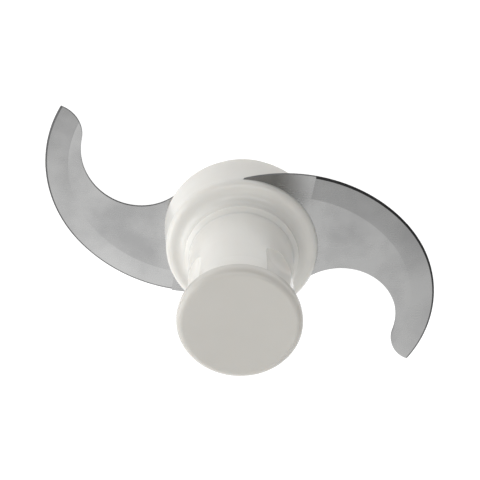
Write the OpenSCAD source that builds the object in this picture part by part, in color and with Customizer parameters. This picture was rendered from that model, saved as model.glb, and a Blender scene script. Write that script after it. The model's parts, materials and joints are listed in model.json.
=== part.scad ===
// Chopping blade of a compact food processor.
// Two sickle blades at two heights, clamped round a drive tube inside a round
// hub that carries a finger grip with a flat knob on top.
// Millimetres, +Z up along the spindle axis, origin on that axis at the base.

/* [Hub] */
// Diameter of the collar just below its rounded rim
collar_d = 50; // [48:0.5:56]
// Diameter of the base ring at the table
base_d = 46; // [45:0.5:47]
// Diameter of the skirt at its lower edge
skirt_d = 52.8; // [51:0.2:54]
// Height of that edge above the table
skirt_z = 9.5; // [8:0.5:11]
// Thickness of the base ring under the lower blade
base_h = 3; // [2.5:0.25:4]
// Height of the collar's flat top above the table
collar_top = 24; // [22:0.5:30]
// Radius of the collar's rounded rim
rim_r = 2.6; // [1.6:0.1:3]
// Thickness of the collar's wall at the foot
wall_t = 2.5; // [2:0.25:3]

/* [Blades] */
// Thickness of the blade steel
blade_t = 1; // [0.8:0.1:1.5]
// Depth of the upper blade's top face below the collar's top
blade_cover = 2; // [2:0.25:4]
// Radius of the long leading edge
lead_r = 53; // [52:0.5:54]
// Radius of the outer edge towards the tip
nose_r = 42.4; // [41:0.2:44]
// Radius of the round bay behind the blade
bay_r = 19.2; // [18:0.2:20]
// Radius of the back of the tip
tip_r = 9.7; // [9:0.1:11]
// Width of the shallow ground band along the edge
bevel_w = 7.8; // [4:0.2:9]
// Thickness left where that band meets the cutting bevel
band_t = 0.75; // [0.6:0.05:0.9]
// Width of the steep cutting bevel
cut_w = 0.7; // [0.4:0.1:1.2]
// Steel left at the cutting edge
edge_t = 0.15; // [0.1:0.05:0.4]
// How far the lower sickle stands out beyond the upper one
lower_out = 1.8; // [0:0.2:3]

/* [Grip] */
// Diameter of the step that the grip stands on
step_d = 36.8; // [35:0.2:38]
// Height of the step above the collar
step_h = 5.6; // [4:0.2:8]
// Radius of the fillet at the foot of the step
foot_r = 3; // [1:0.2:3.4]
// Diameter of the neck above the step
neck_d = 33.6; // [33:0.2:34.5]
// Diameter of the neck at its waist, under the knob
waist_d = 31.2; // [30.4:0.2:32]
// Diameter of the knob
knob_d = 36.6; // [35:0.2:40]
// Thickness of the knob
knob_h = 4.4; // [4:0.2:5]
// Radius of the rounded edge round the knob's face
knob_edge = 2; // [1:0.1:2.2]
// Height of the whole part
total_h = 69; // [67:0.5:76]
// Number of finger flutes
flutes = 3; // [2:1:3]
// Radius of a finger flute
flute_r = 14; // [9:0.5:15]
// Depth of a finger flute below the neck's surface
flute_depth = 2.1; // [1.5:0.1:3]

/* [Drive] */
// Diameter of the spindle that the part turns on
spindle_d = 12; // [10:0.1:12.5]
// Radial clearance round the spindle
spindle_gap = 0.05; // [0.03:0.01:0.1]
// Outer diameter of the drive tube
tube_d = 20; // [19:0.5:20.5]

/* [Hidden] */
$fn = 96;
eps = 0.05;

// Levels
upper_top = collar_top - blade_cover;
upper_z = upper_top - blade_t;
lower_z = base_h;
lower_top = lower_z + blade_t;
step_top = collar_top + step_h;
knob_z = total_h - knob_h;
waist_z = knob_z - 9;
flange_h = 1.5;
nut_z = knob_z - 7.2;
nut_h = 2.4;
tube_top = nut_z + nut_h;

// Radii
collar_r = collar_d / 2;
base_r = base_d / 2;
skirt_r = skirt_d / 2;
skirt_round = 1.2;
step_r = step_d / 2;
neck_r = neck_d / 2;
shoulder_r = neck_r + 0.2;
tube_r = tube_d / 2;
bore_r = spindle_d / 2 + spindle_gap;
insert_r = 8;
flat_x = tube_r - 1.2;
tang_r = 16.4;
spigot_r = 14;
nut_r = 12.5;

// Blade outline, upper blade: centres of its arcs about the spindle axis
lead_c = [14.9, -25.8];
nose_a = 41.8;
nose_c = lead_c + (lead_r - nose_r) * [cos(nose_a), sin(nose_a)];
bay_c = [33.8, -25.1];
tip_a = -13.4;
tip_c = bay_c + (bay_r + tip_r) * [cos(tip_a), sin(tip_a)];
root_x = -8;
bevel_start = 81.6;
lap = 0.4;
inset = 0.02;
far = 90;
lower_shift = [lower_out, 0.5];

// Screws and dowels
screw_n = 3;
screw_r = 1.5;
screw_head_r = 2.9;
screw_head_h = 1.6;
screw_len = 15;
screw_at = 18.2;
screw_a0 = 220;
boss_r = 3;
dowel_n = 2;
dowel_r = 1.5;
dowel_at = 12;
dowel_a0 = 100;
dowel_down = 5;
dowel_up = 3;

// Drive insert, bush and seals
insert_h = 13;
dog_n = 4;
dog_w = 2;
dog_r = 7.1;
bush_h = 12;
pad_h = 1.6;
bush_z = tube_top - pad_h - bush_h - 0.6;
seal_r = 0.8;
socket_h = insert_h + 2 * seal_r;
cap_seal_z = knob_z - 1.7;
neck_seal_z = collar_top + 4;
rib_n = 6;
rib_t = 1.6;

flute_a0 = 41.5;
flute_z = collar_top + 21;
flute_round = 4;
flute_end = 2;
flute_at = waist_d / 2 - flute_depth + flute_r;

// ---- Shared shapes ----

module ring(r_out, r_in, z, h) {
    translate([0, 0, z]) difference() {
        cylinder(r = r_out, h = h);
        translate([0, 0, -1]) cylinder(r = r_in, h = h + 2);
    }
}

// Places a child n times round the axis at radius r
module around(n, r, a0) {
    for (i = [0 : n - 1]) rotate([0, 0, a0 + i * 360 / n]) translate([r, 0, 0]) children();
}

module screw_place(i) {
    rotate([0, 0, screw_a0 + i * 360 / screw_n]) translate([screw_at, 0, 0]) children();
}

module dowel_place(i) {
    rotate([0, 0, dowel_a0 + i * 360 / dowel_n]) translate([dowel_at, 0, 0]) children();
}

// Section of the drive tube where the tangs key on to it: a circle with two flats
module key_section(gap) {
    intersection() {
        circle(r = tube_r + gap);
        square([2 * (flat_x + gap), 4 * tube_r], center = true);
    }
}

// O-ring of the given centre radius and height
module o_ring(r, z) {
    rotate_extrude() translate([r, z]) circle(r = seal_r, $fn = 48);
}

// ---- Blades ----

// Half plane on the right of the line through point c at angle a
module right_of(c, a) {
    translate(c) rotate(a) translate([-2 * far, -2 * far]) square([4 * far, 2 * far]);
}

// Plan of the sickle of a blade: the long leading arc runs on into a tighter arc, and the
// tip is rounded at its back
module sickle_plan() {
    intersection() {
        difference() {
            translate(lead_c) rotate(200) circle(r = lead_r);
            difference() {
                right_of(nose_c, nose_a);
                translate(nose_c) rotate(200) circle(r = nose_r);
            }
            tail_cut();
        }
        polygon([[root_x, 0], [root_x, far], [far, far], [far, -far], bay_c]);
    }
}

// The round bay and the space behind the tip
module tail_cut() {
    translate(bay_c) rotate(200) circle(r = bay_r);
    difference() {
        right_of(bay_c, tip_a);
        translate(tip_c) rotate(100) circle(r = tip_r);
    }
}

// Plan of a blade with its tang disc, its sickle moved out by shift
module blade_plan(shift) {
    circle(r = tang_r);
    translate(shift) sickle_plan();
}

// Everything above and below a plan, clear of a blade's thickness
module through() {
    translate([0, 0, -blade_t]) linear_extrude(3 * blade_t) children();
}

// Disc of blade steel, ground all round: a shallow band and then a steep cutting bevel
module ground_disc(centre, r) {
    translate([centre[0], centre[1], 0]) rotate([0, 0, 200]) rotate_extrude()
        polygon([[0, 0], [r, 0], [r, edge_t], [r - cut_w, band_t], [r - bevel_w, blade_t], [0, blade_t]]);
}

// The ground stretch along the long leading arc
module lead_piece() {
    difference() {
        intersection() {
            ground_disc(lead_c, lead_r);
            through() difference() {
                right_of(lead_c, bevel_start);
                right_of(lead_c, nose_a);
            }
        }
        through() translate(bay_c) rotate(200) circle(r = bay_r);
    }
}

// The ground stretch to the tip. It laps a little way into the stretch before it and is a
// hair smaller, so that the two join cleanly.
module nose_piece() {
    difference() {
        intersection() {
            ground_disc(nose_c, nose_r - inset);
            through() translate([-sin(nose_a), cos(nose_a)] * lap) right_of(nose_c, nose_a);
        }
        through() polygon([bay_c, [-3 * far, 0], [-3 * far, -3 * far], [far, -3 * far], [far, -far]]);
        through() tail_cut();
    }
}

// One blade, lying on z = 0: its tang and root are flat and the rest is ground
module blade(shift, screws) {
    linear_extrude(blade_t) difference() {
        circle(r = tang_r);
        tang_holes(screws);
    }
    linear_extrude(blade_t) difference() {
        translate(shift) sickle_plan();
        translate(shift) right_of(lead_c, bevel_start);
        circle(r = tang_r - 1);
        tang_holes(screws);
    }
    translate(shift) {
        lead_piece();
        nose_piece();
    }
}

// Key hole, dowel holes and the given screw holes of a tang
module tang_holes(screws) {
    key_section(0);
    for (i = [0 : dowel_n - 1]) rotate(dowel_a0 + i * 360 / dowel_n)
        translate([dowel_at, 0]) circle(r = dowel_r + eps, $fn = 32);
    for (i = screws) rotate(screw_a0 - 180 + i * 360 / screw_n)
        translate([screw_at, 0]) circle(r = screw_r + 0.2, $fn = 32);
}

module upper_blade() {
    color("#b9babb") translate([0, 0, upper_z]) blade([0, 0], []);
}

module lower_blade() {
    color("#b9babb") translate([0, 0, lower_z]) rotate([0, 0, 180])
        blade(lower_shift, [0 : screw_n - 1]);
}

// ---- Hub ----

// Solid of the collar: it widens from its foot to the edge of the skirt, draws in to its
// rounded rim and carries a step for the grip, with a fillet at its foot and a sloping shoulder
module collar_body() {
    rotate_extrude() {
        polygon([[0, base_h], [base_r, base_h], [skirt_r - skirt_round, skirt_z - skirt_round],
            [skirt_r, skirt_z], [collar_r, collar_top - rim_r], [collar_r - rim_r, collar_top],
            [step_r, collar_top], [step_r, step_top + shoulder_r - step_r], [shoulder_r, step_top],
            [0, step_top]]);
        translate([skirt_r - skirt_round, skirt_z]) circle(r = skirt_round, $fn = 64);
        translate([collar_r - rim_r, collar_top - rim_r]) circle(r = rim_r);
        difference() {
            translate([step_r - eps, collar_top - eps]) square(foot_r + eps);
            translate([step_r + foot_r, collar_top + foot_r]) circle(r = foot_r);
        }
    }
}

module collar() {
    color("#f1f0ec") difference() {
        collar_body();
        difference() {
            translate([0, 0, base_h - 1])
                cylinder(r = base_r - wall_t, h = upper_top - base_h + 1);
            collar_inside();
        }
        translate([0, 0, upper_top - 1]) cylinder(r = spigot_r, h = step_top - upper_top + 2);
        translate([0, 0, upper_z]) linear_extrude(blade_t) blade_plan([0, 0]);
        translate([0, 0, lower_z - 1]) rotate([0, 0, 180]) linear_extrude(blade_t + 1)
            blade_plan(lower_shift);
        for (i = [0 : screw_n - 1]) screw_place(i) cylinder(r = screw_r, h = screw_len + 1, $fn = 32);
    }
}

// Screw bosses and stiffening ribs that fill part of the collar's inside
module collar_inside() {
    for (i = [0 : screw_n - 1]) screw_place(i) cylinder(r = boss_r, h = collar_top, $fn = 48);
    intersection() {
        around(rib_n, 0, 20) translate([tang_r + 1, -rib_t / 2, lower_top + 1])
            cube([collar_r, rib_t, upper_top]);
        cylinder(r = collar_r, h = collar_top);
    }
}

module base_ring() {
    color("#f1f0ec") difference() {
        rotate_extrude() {
            polygon([[0, 0], [base_r - 1, 0], [base_r, 1], [base_r, base_h], [0, base_h]]);
            translate([base_r - 1, 1]) circle(r = 1);
        }
        translate([0, 0, -1]) cylinder(r = tube_r, h = base_h + 2);
        translate([0, 0, -1]) cylinder(r = spigot_r, h = flange_h + 1);
        for (i = [0 : screw_n - 1]) screw_place(i) {
            translate([0, 0, -1]) cylinder(r = screw_r + 0.2, h = base_h + 2, $fn = 32);
            translate([0, 0, -1]) cylinder(r = screw_head_r + 0.1, h = screw_head_h + 1.2, $fn = 48);
        }
    }
}

module blade_spacer() {
    color("#e4e3de") difference() {
        ring(dowel_at + dowel_r + 1.1, tube_r, lower_top, upper_z - lower_top);
        for (i = [0 : dowel_n - 1]) dowel_place(i)
            translate([0, 0, upper_z - dowel_down]) cylinder(r = dowel_r, h = far, $fn = 32);
    }
}

// ---- Drive ----

module drive_tube() {
    color("#d9d8d3") difference() {
        union() {
            cylinder(r = spigot_r - eps, h = flange_h);
            cylinder(r = tube_r, h = lower_z);
            translate([0, 0, lower_z]) linear_extrude(upper_top - lower_z) key_section(0);
            translate([0, 0, upper_top]) cylinder(r = tube_r, h = tube_top - upper_top);
        }
        translate([0, 0, -1]) cylinder(r = bore_r + 0.6, h = total_h);
        translate([0, 0, -1]) cylinder(r = insert_r, h = socket_h + 1);
        translate([0, 0, bush_z]) cylinder(r = insert_r, h = total_h);
    }
}

module drive_insert() {
    color("#9c9da0") difference() {
        ring(insert_r, bore_r, 0, insert_h);
        around(dog_n, 0, 0) translate([0, -dog_w / 2, -1]) cube([dog_r, dog_w, insert_h - 2]);
    }
}

module socket_seal() {
    color("#4a4b4d") o_ring(bore_r + 1.1, insert_h + seal_r);
}

module spindle_bush() {
    color("#c9a24c") ring(insert_r, bore_r, bush_z, bush_h);
}

module thrust_pad() {
    color("#a9abae") translate([0, 0, bush_z + bush_h]) cylinder(r = insert_r, h = pad_h);
}

// ---- Grip ----

// Half section of the grip: its splayed foot on the step, the waisted neck and the flare
// under the knob
module grip_section() {
    flare = knob_d / 2 - 1 - waist_d / 2;
    polygon([[0, step_top], [shoulder_r, step_top], [neck_r, step_top + 1.2],
        [neck_r - 0.5, step_top + 14], [waist_d / 2, waist_z], [waist_d / 2, knob_z], [0, knob_z]]);
    difference() {
        translate([0, knob_z - flare]) square([waist_d / 2 + flare, flare]);
        translate([waist_d / 2 + flare, knob_z - flare]) circle(r = flare, $fn = 48);
    }
}

// Upright cutter for one finger flute. It has a rounded lower end and runs up into the flare.
module flute_cutter() {
    top = knob_z - 0.8;
    rotate_extrude() {
        translate([0, flute_z + flute_round])
            square([flute_r, top - flute_end - flute_z - flute_round]);
        translate([0, flute_z]) square([flute_r - flute_round, top - flute_z]);
        translate([0, flute_z + flute_round]) square([flute_r - flute_end, top - flute_z - flute_round]);
        for (end = [[flute_z + flute_round, flute_round], [top - flute_end, flute_end]])
            translate([flute_r - end[1], end[0]]) intersection() {
                circle(r = end[1], $fn = 64);
                translate([0, -end[1]]) square(2 * end[1]);
            }
    }
}

module grip() {
    color("#f1f0ec") difference() {
        union() {
            rotate_extrude() grip_section();
            translate([0, 0, upper_top]) cylinder(r = spigot_r, h = step_top - upper_top + 1);
        }
        around(flutes, flute_at, flute_a0) flute_cutter();
        translate([0, 0, upper_top - 1]) cylinder(r = tube_r, h = total_h);
        translate([0, 0, nut_z - 0.8]) cylinder(r = nut_r, h = total_h);
        for (i = [0 : dowel_n - 1]) dowel_place(i)
            translate([0, 0, upper_top - 1]) cylinder(r = dowel_r + eps, h = dowel_up + 1, $fn = 32);
        rotate_extrude() translate([tube_r, neck_seal_z]) circle(r = seal_r + eps, $fn = 48);
    }
}

module neck_seal() {
    color("#4a4b4d") difference() {
        o_ring(tube_r, neck_seal_z);
        cylinder(r = tube_r, h = total_h);
    }
}

module clamp_washer() {
    color("#b4b5b7") ring(nut_r - 0.1, tube_r, nut_z - 0.8, 0.8);
}

module clamp_nut() {
    color("#b4b5b7") difference() {
        ring(nut_r - 0.1, tube_r, nut_z, nut_h);
        around(4, 0, 45) translate([nut_r - 1.2, -1, nut_z + 1]) cube([3, 2, nut_h]);
    }
}

module knob_cap() {
    under = 1;
    color("#f1f0ec") difference() {
        union() {
            rotate_extrude() {
                polygon([[0, knob_z], [knob_d / 2 - under, knob_z], [knob_d / 2, knob_z + under],
                    [knob_d / 2, total_h - knob_edge], [knob_d / 2 - knob_edge, total_h], [0, total_h]]);
                translate([knob_d / 2 - knob_edge, total_h - knob_edge]) circle(r = knob_edge, $fn = 64);
                translate([knob_d / 2 - under, knob_z + under]) circle(r = under, $fn = 48);
            }
            translate([0, 0, tube_top + 0.6]) cylinder(r = nut_r - eps, h = knob_z - tube_top);
        }
        translate([0, 0, tube_top]) cylinder(r = 9, h = knob_z + 1 - tube_top);
        rotate_extrude() translate([nut_r - 0.4, cap_seal_z]) circle(r = seal_r + eps, $fn = 48);
    }
}

module cap_seal() {
    color("#4a4b4d") intersection() {
        o_ring(nut_r - 0.4, cap_seal_z);
        cylinder(r = nut_r, h = total_h);
    }
}

// ---- Fasteners ----

module base_screw(i) {
    color("#b4b5b7") screw_place(i) difference() {
        union() {
            translate([0, 0, 0.2]) cylinder(r = screw_head_r, h = screw_head_h, $fn = 48);
            translate([0, 0, 0.2]) cylinder(r = screw_r, h = screw_len, $fn = 32);
        }
        for (a = [0, 90]) rotate([0, 0, a]) translate([-1.6, -0.35, 0]) cube([3.2, 0.7, 1.1]);
    }
}

module dowel(i) {
    color("#b4b5b7") dowel_place(i) translate([0, 0, upper_z - dowel_down])
        cylinder(r = dowel_r, h = dowel_down + dowel_up, $fn = 32);
}

base_ring();
lower_blade();
collar();
blade_spacer();
upper_blade();
drive_tube();
drive_insert();
spindle_bush();
thrust_pad();
grip();
clamp_washer();
clamp_nut();
knob_cap();
cap_seal();
neck_seal();
socket_seal();
base_screw(0);  // base_screw_1
base_screw(1);  // base_screw_2
base_screw(2);  // base_screw_3
dowel(0);  // dowel_1
dowel(1);  // dowel_2
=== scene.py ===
"""Looks of the chopping blade: white moulded hub and knob, ground stainless blades.

Metres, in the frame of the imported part: +Z up the spindle axis, origin at the base.
"""

import json

import bpy
from mathutils import Matrix, Vector

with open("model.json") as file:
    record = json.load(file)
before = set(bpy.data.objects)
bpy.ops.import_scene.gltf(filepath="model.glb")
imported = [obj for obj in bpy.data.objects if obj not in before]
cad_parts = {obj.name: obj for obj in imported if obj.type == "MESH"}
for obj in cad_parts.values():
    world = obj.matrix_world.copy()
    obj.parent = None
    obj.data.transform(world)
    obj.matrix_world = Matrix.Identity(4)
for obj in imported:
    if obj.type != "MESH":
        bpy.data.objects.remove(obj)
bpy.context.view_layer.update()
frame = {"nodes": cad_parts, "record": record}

# ---- Camera: close to the knob's side, rolled so that the knob hangs low in the picture ----

CAMERA_PLACE = Vector((-0.0007, 0.1525, 0.3084))
CAMERA_RIGHT = Vector((0.9994, 0.0314, -0.0164))
CAMERA_DOWN = Vector((0.0354, -0.8863, 0.4618))
CAMERA_REACH = (0.01, 20)
SENSOR_MM = 36.0
LENS_MM = 74.19

# ---- Floor and sky ----

FLOOR_SIZE = 6.0
FLOOR_DROP = 0.0002
FLOOR_GLOW = 0.86
FLOOR_ALBEDO = 0.35
FLOOR_ROUGHNESS = 0.9
SKY_BRIGHT = (1.26, 1.26, 1.26, 1)
SKY_DIM = (0.17, 0.17, 0.17, 1)
SKY_LEAN = (-0.58, -0.55, -0.20)
SKY_REACH = 0.65
BACKDROP = (0.93, 0.93, 0.93, 1)

# ---- Lamps: the key on the left, the front one over the knob, the fill on the right ----

LAMP_AIM = Vector((0, 0, 0.03))
KEY_PLACE = (-0.77, -0.06, 0.25)
KEY_SIZE = (0.6, 0.7)
KEY_WATTS = 2.5
FRONT_PLACE = (0.02, 0.30, 0.55)
FRONT_SIZE = (0.60, 0.16)
FRONT_WATTS = 0.95
FILL_PLACE = (0.32, -0.06, 0.60)
FILL_SIZE = (0.4, 0.4)
FILL_WATTS = 0.65

# ---- Colours: the two ends of each surface's variation ----

HUB_COLOURS = (0.69, 0.68, 0.645, 1), (0.665, 0.65, 0.615, 1)
HUB_ROUGHNESS = 0.17
# The knob's plastic is the hub's white painted darker: painted shade for the dimmer light its
# face gets.
KNOB_SHADED_COLOURS = (0.535, 0.52, 0.485, 1), (0.515, 0.50, 0.465, 1)
KNOB_ROUGHNESS = 0.22
CORE_COLOURS = (0.74, 0.73, 0.70, 1), (0.68, 0.67, 0.64, 1)
FLAT_COLOURS = (0.58, 0.58, 0.575, 1), (0.45, 0.45, 0.45, 1)
# The ground band's own finish, painted from light to dark along Y as a painted reflection.
GROUND_FINISH_AND_REFLECTION_COLOURS = (0.61, 0.61, 0.605, 1), (0.215, 0.215, 0.215, 1)
CUT_COLOURS = (0.04, 0.04, 0.041, 1), (0.10, 0.10, 0.10, 1)
# Painted shade: the blades are painted dark next to the hub.
ROOT_SHADE_COLOUR = (0.20, 0.198, 0.19, 1)
STEEL_COLOURS = (0.52, 0.52, 0.53, 1), (0.40, 0.40, 0.41, 1)
BRASS_COLOURS = (0.72, 0.52, 0.22, 1), (0.55, 0.38, 0.15, 1)
RUBBER_COLOURS = (0.018, 0.018, 0.019, 1), (0.045, 0.045, 0.046, 1)

# ---- Blade faces, told apart by how level they lie, and places along them ----

CUT_LEVEL = (0.90, 0.97)
GROUND_LEVEL = (0.9990, 0.9997)
# Where along Y the ground band's painted reflection goes from light to dark.
GROUND_REFLECTION_FADE_Y = (-0.014, 0.034)
# How far from the axis the painted shade next to the hub fades out, and how much of it is laid
# on.
ROOT_SHADE_X = (0.010, 0.021)
ROOT_SHADE_SHARE = 0.85

# ---- Noise: the range that most of it lies in ----

MIDDLE = (0.3, 0.7)

# ---- Sockets of a Mix node set to RGBA ----

MIX_SHARE, MIX_FIRST, MIX_SECOND = 0, 6, 7
MIX_RESULT = 2


def make_camera():
    data = bpy.data.cameras.new("camera")
    data.sensor_width = SENSOR_MM
    data.lens = LENS_MM
    data.clip_start, data.clip_end = CAMERA_REACH
    camera = bpy.data.objects.new("camera", data)
    bpy.context.scene.collection.objects.link(camera)
    up = -CAMERA_DOWN.normalized()
    right = (CAMERA_RIGHT - CAMERA_RIGHT.dot(up) * up).normalized()
    turn = Matrix((right, up, right.cross(up))).transposed()
    camera.matrix_world = Matrix.Translation(CAMERA_PLACE) @ turn.to_4x4()
    bpy.context.scene.camera = camera


# ---- Node helpers ----


class Graph:
    """An emptied node tree, with short calls that add nodes and return their output."""

    def __init__(self, tree):
        self.tree = tree
        self.tree.nodes.clear()

    def feed(self, socket, value):
        """Links value to the socket if it is another node's output, or sets it."""
        if isinstance(value, bpy.types.NodeSocket):
            self.tree.links.new(value, socket)
        else:
            socket.default_value = value

    def node(self, kind, **inputs):
        made = self.tree.nodes.new(kind)
        for name, value in inputs.items():
            self.feed(made.inputs[name.replace("_", " ")], value)
        return made

    def axis(self, vector, name):
        return self.node("ShaderNodeSeparateXYZ", Vector=vector).outputs[name]

    def spread(self, value, low, high, to_low=0, to_high=1):
        """value from low..high mapped to to_low..to_high, held at the ends."""
        limits = {"From_Min": low, "From_Max": high, "To_Min": to_low, "To_Max": to_high}
        return self.node("ShaderNodeMapRange", Value=value, **limits).outputs[0]

    def math(self, what, *values):
        made = self.node("ShaderNodeMath")
        made.operation = what
        for socket, value in zip(made.inputs, values):
            self.feed(socket, value)
        return made.outputs[0]

    def blend(self, share, first, second):
        """Colour between first and second by share."""
        made = self.node("ShaderNodeMix")
        made.data_type = "RGBA"
        self.feed(made.inputs[MIX_SHARE], share)
        self.feed(made.inputs[MIX_FIRST], first)
        self.feed(made.inputs[MIX_SECOND], second)
        return made.outputs[MIX_RESULT]


class Shader(Graph):
    """A new material with one Principled shader."""

    def __init__(self, name):
        self.material = bpy.data.materials.new(name)
        self.material.use_nodes = True
        super().__init__(self.material.node_tree)
        self.bsdf = self.node("ShaderNodeBsdfPrincipled")
        self.node("ShaderNodeOutputMaterial", Surface=self.bsdf.outputs[0])
        self.place = self.node("ShaderNodeTexCoord").outputs["Object"]

    def set(self, name, value):
        self.feed(self.bsdf.inputs[name], value)

    def noise(self, per_metre, detail):
        """Noise with the given number of features per metre."""
        return self.node(
            "ShaderNodeTexNoise", Vector=self.place, Scale=per_metre, Detail=detail
        ).outputs[0]

    def streaks(self, per_metre, detail, turn=(0, 0, 0)):
        """Noise with its own number of features per metre along each axis."""
        lie = self.node("ShaderNodeMapping", Vector=self.place, Scale=per_metre, Rotation=turn)
        return self.node(
            "ShaderNodeTexNoise", Vector=lie.outputs[0], Scale=1.0, Detail=detail
        ).outputs[0]

    def bump(self, height, metres, strength, under=None):
        """Surface tilt from a height in metres; under is the tilt that it is added to."""
        made = self.node("ShaderNodeBump", Height=height, Distance=metres, Strength=strength)
        if under:
            self.feed(made.inputs["Normal"], under)
        return made.outputs[0]


# ---- Materials ----


def white_plastic(name, colours, roughness):
    """Glossy moulded plastic: faint flow clouds, fine rub marks and a soft mould texture."""
    s = Shader(name)
    clouds = s.spread(s.noise(per_metre=55, detail=3), 0.35, 0.7)
    s.set("Base Color", s.blend(clouds, *colours))
    rubbed = s.streaks(per_metre=(420, 420, 60), detail=4, turn=(0.3, 0.1, 0.6))
    s.set("Roughness", s.spread(rubbed, 0.2, 0.8, roughness - 0.03, roughness + 0.05))
    grain = s.bump(s.noise(per_metre=2600, detail=2), metres=0.00002, strength=0.25)
    ripple = s.noise(per_metre=70, detail=1)
    s.set("Normal", s.bump(ripple, metres=0.00008, strength=0.3, under=grain))
    s.set("IOR", 1.49)
    s.set("Subsurface Weight", 0.35)
    s.set("Subsurface Radius", (1.0, 0.85, 0.7))
    s.set("Subsurface Scale", 0.002)
    return s.material


def core_plastic():
    """Satin engineering plastic of the tube and spacer inside the hub."""
    s = Shader("core_plastic")
    s.set("Base Color", s.blend(s.noise(per_metre=80, detail=3), *CORE_COLOURS))
    s.set("Roughness", s.spread(s.noise(per_metre=700, detail=3), *MIDDLE, 0.42, 0.58))
    grain = s.noise(per_metre=2200, detail=2)
    s.set("Normal", s.bump(grain, metres=0.00002, strength=0.5))
    return s.material


def blade_steel():
    """Stainless sheet: satin flats with polishing clouds, a grinding band with a painted
    reflection that darkens it towards +Y, painted shade next to the hub, dark cut edges.
    """
    s = Shader("blade_steel")
    normal = s.node("ShaderNodeNewGeometry").outputs["True Normal"]
    level = s.math("ABSOLUTE", s.axis(normal, "Z"))
    cut = s.spread(level, *CUT_LEVEL, 1, 0)
    band = s.math("MULTIPLY", s.spread(level, *GROUND_LEVEL, 1, 0), s.math("SUBTRACT", 1.0, cut))
    clouds = s.noise(per_metre=60, detail=3)
    flat = s.blend(s.spread(clouds, 0.36, 0.64), *FLAT_COLOURS)
    # Painted reflection: the ground band's colour darkens towards +Y.
    reflection_fade = s.spread(s.axis(s.place, "Y"), *GROUND_REFLECTION_FADE_Y)
    cloudy_reflection_fade = s.math("ADD", reflection_fade, s.spread(clouds, *MIDDLE, -0.12, 0.12))
    band_finish_and_reflection = s.blend(cloudy_reflection_fade, *GROUND_FINISH_AND_REFLECTION_COLOURS)
    # Painted shade: the blades darken next to the hub, where the hub shades them.
    root_shade = s.spread(s.math("ABSOLUTE", s.axis(s.place, "X")), *ROOT_SHADE_X, ROOT_SHADE_SHARE, 0)
    face = s.blend(root_shade, s.blend(band, flat, band_finish_and_reflection), ROOT_SHADE_COLOUR)
    torn = s.blend(s.noise(per_metre=900, detail=3), *CUT_COLOURS)
    s.set("Base Color", s.blend(cut, face, torn))
    s.set("Metallic", 1.0)
    brushed = s.streaks(per_metre=(300, 2200, 900), detail=3, turn=(0, 0, 0.35))
    patches = s.spread(s.noise(per_metre=120, detail=2), *MIDDLE, 0.0, 0.08)
    rough = s.math("ADD", s.spread(brushed, *MIDDLE, 0.20, 0.25), patches)
    s.set("Roughness", s.math("ADD", rough, s.math("MULTIPLY", cut, 0.15)))
    s.set("Normal", s.bump(brushed, metres=0.00001, strength=0.25))
    return s.material


def turned_metal(name, colours, worn_per_metre, rings_per_metre, roughness, ring_strength):
    """Turned metal, with fine tool rings round the axis."""
    s = Shader(name)
    s.set("Base Color", s.blend(s.noise(worn_per_metre, detail=3), *colours))
    s.set("Metallic", 1.0)
    rings = s.streaks(rings_per_metre, detail=2)
    s.set("Roughness", s.spread(rings, *MIDDLE, *roughness))
    s.set("Normal", s.bump(rings, metres=0.000008, strength=ring_strength))
    return s.material


def seal_rubber():
    """Black rubber of the O-rings, dusty in places."""
    s = Shader("seal_rubber")
    dusty = s.noise(per_metre=500, detail=4)
    s.set("Base Color", s.blend(dusty, *RUBBER_COLOURS))
    s.set("Roughness", s.spread(dusty, *MIDDLE, 0.45, 0.65))
    grain = s.noise(per_metre=1800, detail=2)
    s.set("Normal", s.bump(grain, metres=0.00002, strength=0.4))
    return s.material


def dress():
    """Gives every CAD node the material of its slot in the record."""
    looks = {
        "hub": white_plastic("hub_plastic", HUB_COLOURS, HUB_ROUGHNESS),
        # The knob takes a darker copy of the hub's white plastic: painted shade.
        "knob": white_plastic("knob_plastic_painted_shade", KNOB_SHADED_COLOURS, KNOB_ROUGHNESS),
        "core": core_plastic(),
        "blade": blade_steel(),
        "hardware": turned_metal(
            "turned_steel", STEEL_COLOURS, 300, (40, 40, 9000), (0.24, 0.42), 0.6
        ),
        "bush": turned_metal("bush_brass", BRASS_COLOURS, 260, (60, 60, 7000), (0.22, 0.38), 0.5),
        "seal": seal_rubber(),
    }
    for part in frame["record"]["subparts"]:
        mesh = frame["nodes"][part["node"]].data
        mesh.materials.clear()
        mesh.materials.append(looks[part["material_slot"]])


# ---- Surroundings ----


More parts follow.
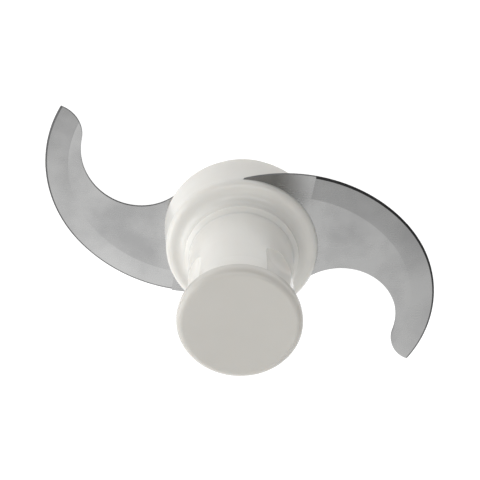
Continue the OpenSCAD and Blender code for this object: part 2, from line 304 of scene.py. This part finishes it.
def make_floor():
    """A pale lit table: mostly its own glow, so that it takes only a faint shadow."""
    s = Shader("floor")
    s.set("Base Color", (FLOOR_ALBEDO, FLOOR_ALBEDO, FLOOR_ALBEDO, 1))
    s.set("Roughness", FLOOR_ROUGHNESS)
    s.set("Emission Color", (1, 1, 1, 1))
    s.set("Emission Strength", FLOOR_GLOW)
    half = FLOOR_SIZE / 2
    corners = [(-half, -half, 0), (half, -half, 0), (half, half, 0), (-half, half, 0)]
    mesh = bpy.data.meshes.new("floor")
    mesh.from_pydata(corners, [], [(0, 1, 2, 3)])
    mesh.materials.append(s.material)
    floor = bpy.data.objects.new("floor", mesh)
    floor.location.z = -FLOOR_DROP
    bpy.context.scene.collection.objects.link(floor)


def make_sky():
    """Light that is strongest low on one side of the object, behind a plain pale backdrop."""
    world = bpy.data.worlds.new("studio")
    bpy.context.scene.world = world
    world.use_nodes = True
    g = Graph(world.node_tree)
    lean = g.node("ShaderNodeVectorMath")
    lean.operation = "DOT_PRODUCT"
    g.feed(lean.inputs[0], g.node("ShaderNodeTexCoord").outputs["Generated"])
    g.feed(lean.inputs[1], SKY_LEAN)
    share = g.spread(lean.outputs["Value"], -SKY_REACH, SKY_REACH)
    share.node.interpolation_type = "SMOOTHSTEP"
    light = g.blend(share, SKY_DIM, SKY_BRIGHT)
    seen = g.blend(g.node("ShaderNodeLightPath").outputs["Is Camera Ray"], light, BACKDROP)
    background = g.node("ShaderNodeBackground", Color=seen)
    g.node("ShaderNodeOutputWorld", Surface=background.outputs[0])


def make_lamp(name, place, size, watts, mirrored=True):
    """A soft box that points at the hub; one that isn't mirrored leaves the blades alone."""
    data = bpy.data.lights.new(name, "AREA")
    data.shape = "RECTANGLE"
    data.size, data.size_y = size
    data.energy = watts
    lamp = bpy.data.objects.new(name, data)
    lamp.location = place
    lamp.visible_glossy = mirrored
    lamp.rotation_euler = (LAMP_AIM - Vector(place)).to_track_quat("-Z", "Y").to_euler()
    bpy.context.scene.collection.objects.link(lamp)


make_camera()
dress()
make_floor()
make_sky()
make_lamp("key", KEY_PLACE, KEY_SIZE, KEY_WATTS)
make_lamp("front", FRONT_PLACE, FRONT_SIZE, FRONT_WATTS)
make_lamp("fill", FILL_PLACE, FILL_SIZE, FILL_WATTS, mirrored=False)
bpy.context.scene.view_settings.view_transform = "Standard"
